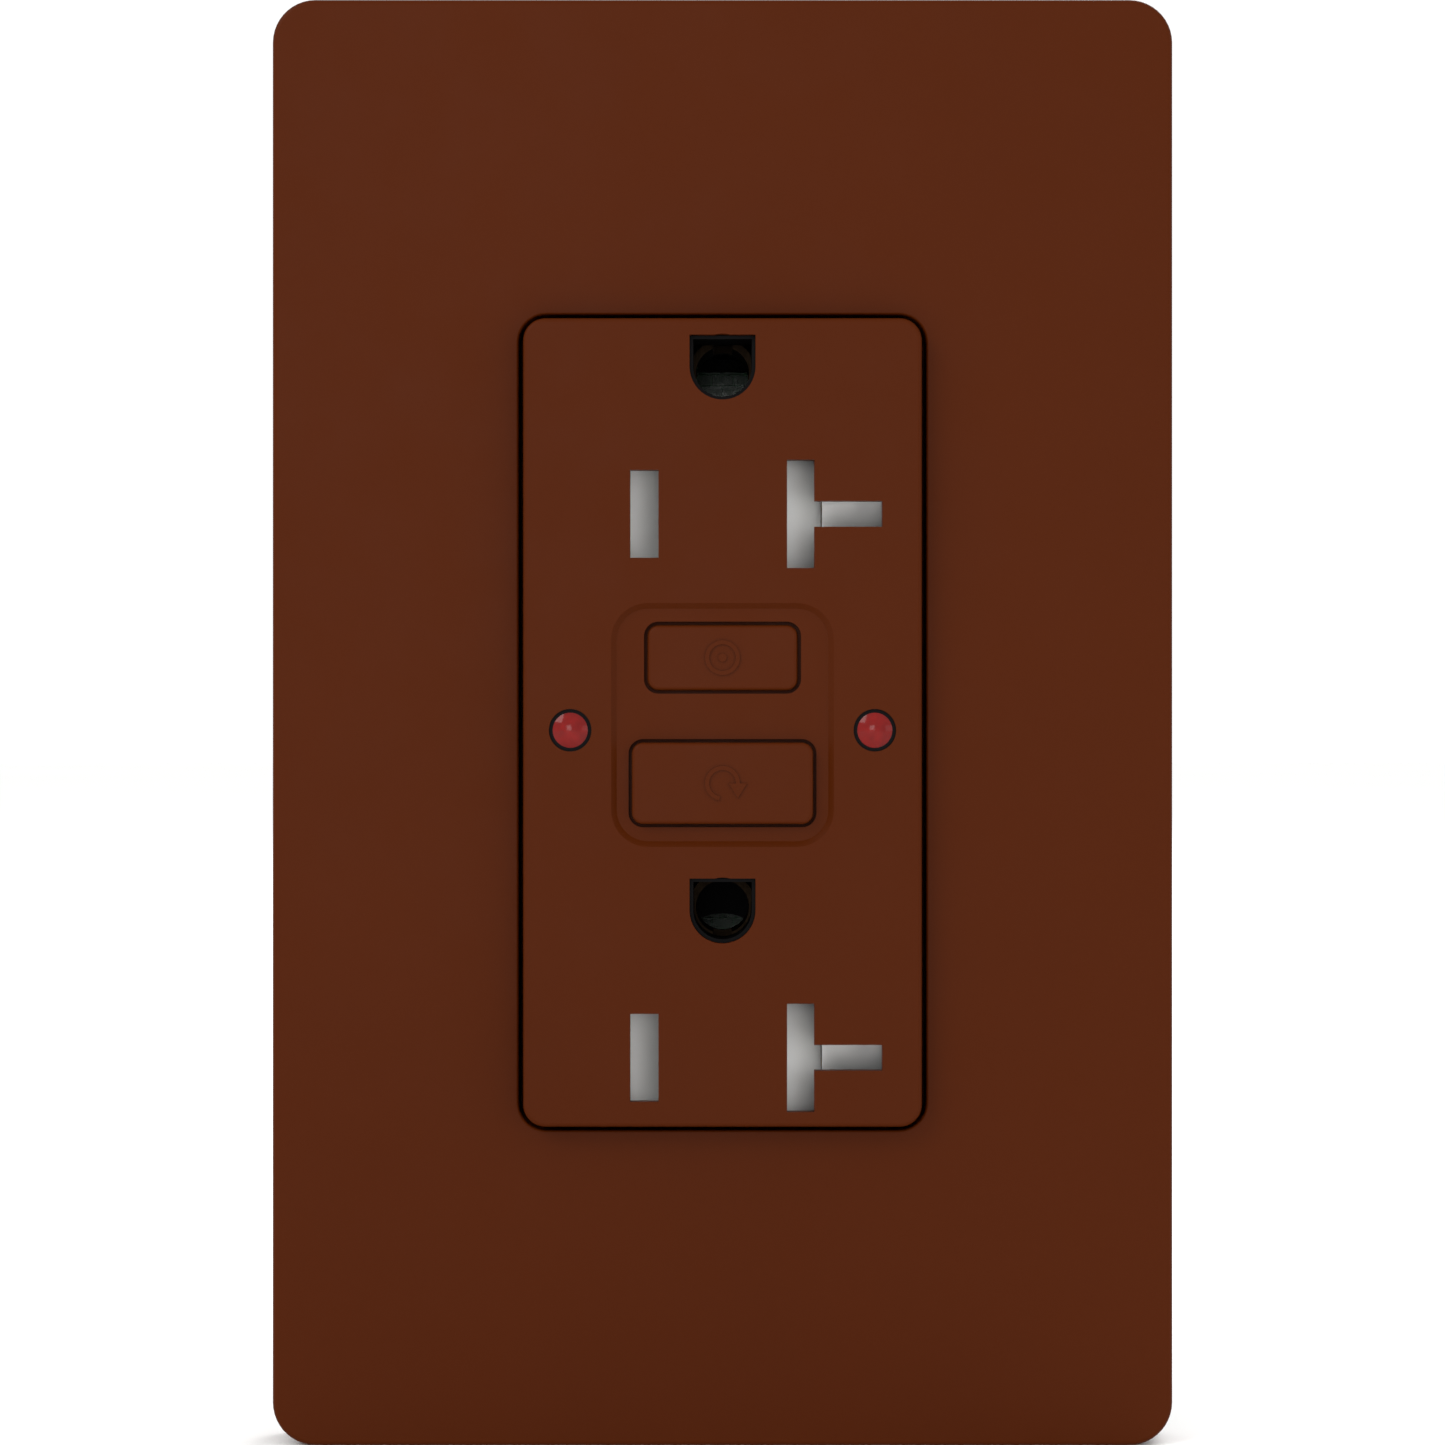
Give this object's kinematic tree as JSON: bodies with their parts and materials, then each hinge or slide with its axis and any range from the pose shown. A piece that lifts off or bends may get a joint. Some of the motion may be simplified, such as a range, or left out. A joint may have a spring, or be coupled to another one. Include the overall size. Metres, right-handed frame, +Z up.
{
  "type": "gfci outlet",
  "caption": "Tamper-resistant duplex ground-fault receptacle with T-slots, test and reset buttons, indicator lenses and a screwless wall plate.",
  "frame": {"origin": "midway between the two box screws, in the wall plane on which the plate rests", "axes": "+Y into the wall, +Z up along the line of the two box screws, +X to the right seen from the room"},
  "size_m": [0.0734, 0.0392, 0.1182],
  "materials": {
    "plate_brown": "satin moulded",
    "face_brown": "fine satin moulded",
    "button_brown": "smooth moulded",
    "frame_black": "moulded",
    "housing_black": "fine spark texture",
    "shutter_grey": "moulded",
    "tray_grey": "moulded",
    "carrier_ivory": "moulded",
    "lens_red": "clear dyed",
    "strap_zinc": "zinc plated",
    "screw_steel": "zinc plated",
    "contact_brass": "stamped",
    "screw_brass": "plated",
    "screw_nickel": "nickel plated",
    "screw_green": "dyed plating",
    "contact_silver": "silver alloy",
    "spring_steel": "drawn wire",
    "retainer_white": "die cut",
    "lifter_white": "moulded",
    "bobbin_black": "moulded",
    "coil_copper": "enamelled wire",
    "core_dark": "sintered",
    "board_green": "solder mask",
    "led_red": "clear dyed",
    "varistor_blue": "dipped",
    "capacitor_yellow": "moulded",
    "chip_black": "moulded"
  },
  "bodies": {
    "device": {"plate_adapter": "frame_black", "adapter_screws": "screw_steel", "face_cover": "face_brown", "light_pipes": "lens_red", "mounting_strap": "strap_zinc", "ground_contacts": "contact_brass", "ground_rivets": "contact_brass", "ground_screw": "screw_green", "box_screws": "screw_steel", "screw_retainers": "retainer_white", "shutter_trays": "tray_grey", "fixed_contacts": "contact_silver", "contact_carrier": "carrier_ivory", "test_blade": "spring_steel", "reset_spring": "spring_steel", "solenoid_bobbin": "bobbin_black", "solenoid_coil": "coil_copper", "solenoid_frame": "strap_zinc", "plunger_spring": "spring_steel", "core_cup": "bobbin_black", "sense_cores": "core_dark", "circuit_board": "board_green", "pilot_leds": "led_red", "varistor": "varistor_blue", "capacitor": "capacitor_yellow", "controller_chip": "chip_black", "rear_housing": "housing_black", "housing_screws": "screw_steel", "upper_shutter_spring": "spring_steel", "upper_branch_spring": "spring_steel", "lower_shutter_spring": "spring_steel", "lower_branch_spring": "spring_steel", "hot_busbar": "contact_brass", "hot_line_conductor": "contact_brass", "neutral_busbar": "contact_brass", "neutral_line_conductor": "contact_brass"},
    "wall_plate": {"front_plate": "plate_brown"},
    "test_button": {"test_button": "button_brown"},
    "reset_button": {"reset_button": "button_brown", "reset_pin": "screw_steel"},
    "lifter": {"lifter": "lifter_white", "latch_spring": "spring_steel"},
    "latch": {"latch_plate": "screw_steel"},
    "plunger": {"plunger": "screw_steel"},
    "hot_arm": {"hot_contact_arm": "contact_brass", "hot_arm_contact": "contact_silver"},
    "line_hot_screw": {"line_hot_screw": "screw_brass"},
    "line_hot_clamp": {"line_hot_clamp": "contact_brass"},
    "load_hot_screw": {"load_hot_screw": "screw_brass"},
    "load_hot_clamp": {"load_hot_clamp": "contact_brass"},
    "neutral_arm": {"neutral_contact_arm": "contact_brass", "neutral_arm_contact": "contact_silver"},
    "line_neutral_screw": {"line_neutral_screw": "screw_nickel"},
    "line_neutral_clamp": {"line_neutral_clamp": "screw_nickel"},
    "load_neutral_screw": {"load_neutral_screw": "screw_nickel"},
    "load_neutral_clamp": {"load_neutral_clamp": "screw_nickel"},
    "upper_shutter": {"upper_shutter": "shutter_grey"},
    "upper_branch_shutter": {"upper_branch_shutter": "shutter_grey"},
    "lower_shutter": {"lower_shutter": "shutter_grey"},
    "lower_branch_shutter": {"lower_branch_shutter": "shutter_grey"}
  },
  "joints": [
    {"name": "plate_pull", "type": "slide", "parent": "device", "child": "wall_plate", "axis": [0, -1, 0], "range_m": [0, 0.012]},
    {"name": "test_press", "type": "slide", "parent": "device", "child": "test_button", "axis": [0, 1, 0], "range_m": [0, 0.0014], "stiffness_N_per_m": 300, "springref_m": -0.002, "deforming": ["test_blade"]},
    {"name": "reset_press", "type": "slide", "parent": "device", "child": "reset_button", "axis": [0, 1, 0], "range_m": [0, 0.002], "stiffness_N_per_m": 400, "springref_m": -0.003, "deforming": ["reset_spring"]},
    {"name": "lifter_travel", "type": "slide", "parent": "device", "child": "lifter", "axis": [0, 1, 0], "range_m": [0, 0.002]},
    {"name": "hot_arm_swing", "type": "hinge", "parent": "device", "child": "hot_arm", "pos_m": [-0.0093, 0.01055, -0.0138], "axis": [-1, 0, 0], "range_deg": [0, 9.1]},
    {"name": "neutral_arm_swing", "type": "hinge", "parent": "device", "child": "neutral_arm", "pos_m": [0.0093, 0.01055, -0.0138], "axis": [-1, 0, 0], "range_deg": [0, 9.1]},
    {"name": "plunger_slide", "type": "slide", "parent": "device", "child": "plunger", "axis": [0, 0, -1], "range_m": [0, 0.002], "stiffness_N_per_m": 60, "springref_m": -0.003, "deforming": ["plunger_spring"]},
    {"name": "latch_slide", "type": "slide", "parent": "lifter", "child": "latch", "axis": [0, 0, -1], "range_m": [0, 0.002], "deforming": ["latch_spring"]},
    {"name": "upper_shutter_slide", "type": "slide", "parent": "device", "child": "upper_shutter", "axis": [-1, 0, 0], "range_m": [0, 0.0031], "stiffness_N_per_m": 30, "springref_m": -0.002, "deforming": ["upper_shutter_spring"]},
    {"name": "upper_branch_slide", "type": "slide", "parent": "device", "child": "upper_branch_shutter", "axis": [0, 0, 1], "range_m": [0, 0.0028], "stiffness_N_per_m": 30, "springref_m": -0.002, "deforming": ["upper_branch_spring"]},
    {"name": "lower_shutter_slide", "type": "slide", "parent": "device", "child": "lower_shutter", "axis": [-1, 0, 0], "range_m": [0, 0.0031], "stiffness_N_per_m": 30, "springref_m": -0.002, "deforming": ["lower_shutter_spring"]},
    {"name": "lower_branch_slide", "type": "slide", "parent": "device", "child": "lower_branch_shutter", "axis": [0, 0, 1], "range_m": [0, 0.0028], "stiffness_N_per_m": 30, "springref_m": -0.002, "deforming": ["lower_branch_spring"]},
    {"name": "line_hot_clamp_slide", "type": "slide", "parent": "device", "child": "line_hot_clamp", "axis": [-1, 0, 0], "range_m": [0, 0.00215]},
    {"name": "line_hot_screw_turn", "type": "hinge", "parent": "device", "child": "line_hot_screw", "pos_m": [-0.018, 0.013, -0.017], "axis": [1, 0, 0], "range_deg": [0, 974.8]},
    {"name": "line_neutral_clamp_slide", "type": "slide", "parent": "device", "child": "line_neutral_clamp", "axis": [1, 0, 0], "range_m": [0, 0.00215]},
    {"name": "line_neutral_screw_turn", "type": "hinge", "parent": "device", "child": "line_neutral_screw", "pos_m": [0.018, 0.013, -0.017], "axis": [-1, 0, 0], "range_deg": [0, 974.8]},
    {"name": "load_hot_clamp_slide", "type": "slide", "parent": "device", "child": "load_hot_clamp", "axis": [-1, 0, 0], "range_m": [0, 0.00215]},
    {"name": "load_hot_screw_turn", "type": "hinge", "parent": "device", "child": "load_hot_screw", "pos_m": [-0.018, 0.013, 0.017], "axis": [1, 0, 0], "range_deg": [0, 974.8]},
    {"name": "load_neutral_clamp_slide", "type": "slide", "parent": "device", "child": "load_neutral_clamp", "axis": [1, 0, 0], "range_m": [0, 0.00215]},
    {"name": "load_neutral_screw_turn", "type": "hinge", "parent": "device", "child": "load_neutral_screw", "pos_m": [0.018, 0.013, 0.017], "axis": [-1, 0, 0], "range_deg": [0, 974.8]}
  ],
  "couplings": [
    {"joint": "lifter_travel", "follows": "reset_press", "ratio": 1},
    {"joint": "hot_arm_swing", "follows": "reset_press", "rad_per_m": 78.125},
    {"joint": "neutral_arm_swing", "follows": "reset_press", "rad_per_m": 78.125},
    {"joint": "latch_slide", "follows": "plunger_slide", "ratio": 1},
    {"joint": "line_hot_screw_turn", "follows": "line_hot_clamp_slide", "rad_per_m": 7913.3},
    {"joint": "line_neutral_screw_turn", "follows": "line_neutral_clamp_slide", "rad_per_m": 7913.3},
    {"joint": "load_hot_screw_turn", "follows": "load_hot_clamp_slide", "rad_per_m": 7913.3},
    {"joint": "load_neutral_screw_turn", "follows": "load_neutral_clamp_slide", "rad_per_m": 7913.3}
  ]
}
